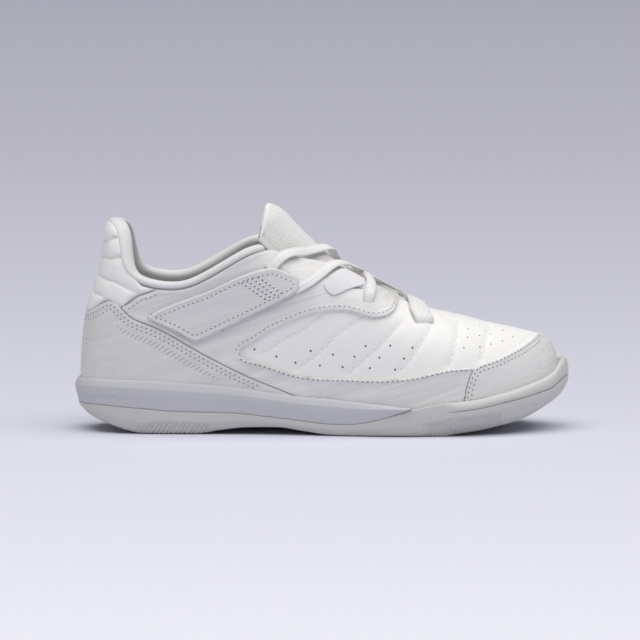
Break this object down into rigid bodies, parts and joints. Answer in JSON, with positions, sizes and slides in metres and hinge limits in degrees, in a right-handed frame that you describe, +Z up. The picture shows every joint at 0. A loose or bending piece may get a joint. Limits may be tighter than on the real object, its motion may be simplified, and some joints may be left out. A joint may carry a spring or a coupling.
{
  "type": "indoor soccer shoe",
  "caption": "Right indoor soccer shoe for a child: quilted low upper with side strap, flat laces, padded heel and low rubber cupsole.",
  "frame": {"origin": "on the floor, under the middle of the heel's contact patch", "axes": "+X runs along the shoe to the toe, -Y is the outer (lateral) side, +Z is up"},
  "size_m": [0.23, 0.0837, 0.1055],
  "materials": {
    "upper_synthetic": "matte, fine grain, quilted",
    "overlay_synthetic": "smooth satin with a brushed sheen",
    "padding": "soft smooth",
    "knit": "fine knit",
    "webbing": "twill",
    "lace": "flat woven",
    "footbed": "matte",
    "midsole_foam": "matte moulded foam",
    "outsole_rubber": "matte rubber"
  },
  "bodies": {
    "root": {"upper": "upper_synthetic", "heel_counter": "overlay_synthetic", "quarter_lateral": "overlay_synthetic", "quarter_medial": "overlay_synthetic", "toe_cap": "overlay_synthetic", "strap": "overlay_synthetic", "heel_pad": "padding", "collar_lining": "knit", "tongue": "knit", "webbing_loop": "webbing", "lace_top": "lace", "lace_second": "lace", "lace_third": "lace", "lace_front": "lace", "insole": "footbed", "midsole": "midsole_foam", "outsole": "outsole_rubber"}
  },
  "joints": []
}
